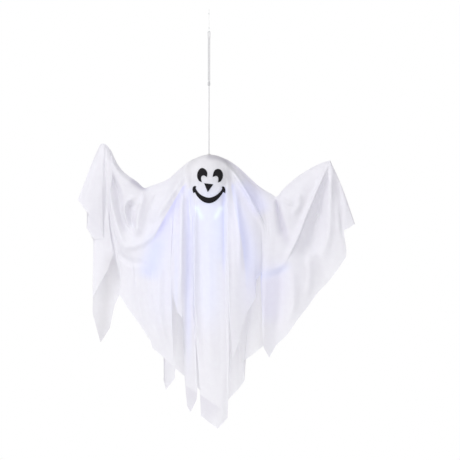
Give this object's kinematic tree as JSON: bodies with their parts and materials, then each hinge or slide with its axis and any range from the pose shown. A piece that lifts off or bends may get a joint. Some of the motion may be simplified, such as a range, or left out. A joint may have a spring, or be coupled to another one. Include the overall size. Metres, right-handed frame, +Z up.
{
  "type": "hanging ghost",
  "caption": "Light-up hanging ghost: a white ragged sheet over a ball head and bent wire arms, felt face, lamp and battery unit under the head, on a looped cord.",
  "frame": {"origin": "centre of the thread's top eye, where the ghost hangs from a hook", "axes": "+Z up along the cord to the hook, +X to the right hand in the picture, the face looks along -Y"},
  "size_m": [0.4998, 0.0974, 0.7568],
  "materials": {
    "sheet": "matte",
    "felt": "matte",
    "cord": "matte",
    "thread": "gloss",
    "foam": "matte",
    "wire": "satin",
    "white_plastic": "satin",
    "diffuser": "satin",
    "led": "gloss",
    "board": "satin",
    "black_plastic": "satin",
    "steel": "satin",
    "contacts": "satin",
    "lead": "satin"
  },
  "bodies": {
    "thread": {"hanging_thread": "thread", "upper_thread_knot": "thread", "lower_thread_knot": "thread"},
    "loop": {"hanging_loop": "cord"},
    "cord": {"loop_knot": "cord", "hanging_cord": "cord", "anchor_knot": "cord"},
    "ghost": {"ghost_cloth": "sheet", "crown_eyelet": "white_plastic", "left_eye": "felt", "right_eye": "felt", "nose": "felt", "mouth": "felt", "head_ball": "foam", "cord_plug": "white_plastic", "neck_collar": "white_plastic", "arm_wire": "wire", "lamp_holder": "white_plastic", "lamp_board": "board", "left_led": "led", "right_led": "led", "lamp_diffuser": "diffuser", "battery_case": "white_plastic", "case_cover": "white_plastic", "button_cell_1": "steel", "button_cell_2": "steel", "button_cell_3": "steel", "contact_plate": "contacts", "contact_spring": "contacts", "switch_body": "contacts", "collar_screw_1": "steel", "collar_screw_2": "steel", "collar_screw_3": "steel", "collar_screw_4": "steel", "lead_wire_1": "lead", "lead_wire_2": "lead"},
    "knob": {"switch_knob": "black_plastic"},
    "door": {"battery_door": "white_plastic"},
    "screw": {"door_screw": "steel"}
  },
  "joints": [
    {"name": "side_swing", "type": "hinge", "parent": "thread", "child": "loop", "pos_m": [0, 0, -0.03855], "axis": [0, 1, 0], "range_deg": [-28, 28]},
    {"name": "front_swing", "type": "hinge", "parent": "loop", "child": "cord", "pos_m": [0, 0, -0.1312], "axis": [1, 0, 0], "range_deg": [-25, 25]},
    {"name": "twirl", "type": "hinge", "parent": "cord", "child": "ghost", "pos_m": [0, 0, -0.259], "axis": [0, 0, 1], "continuous": true},
    {"name": "switch_slide", "type": "slide", "parent": "ghost", "child": "knob", "axis": [1, 0, 0], "range_m": [0, 0.0025]},
    {"name": "door_slide", "type": "slide", "parent": "ghost", "child": "door", "axis": [0, 0, -1], "range_m": [0, 0.012]},
    {"name": "door_screw_turn", "type": "hinge", "parent": "door", "child": "screw", "pos_m": [0.00369, 0.025, -0.36], "axis": [0, 0, 1], "continuous": true}
  ]
}
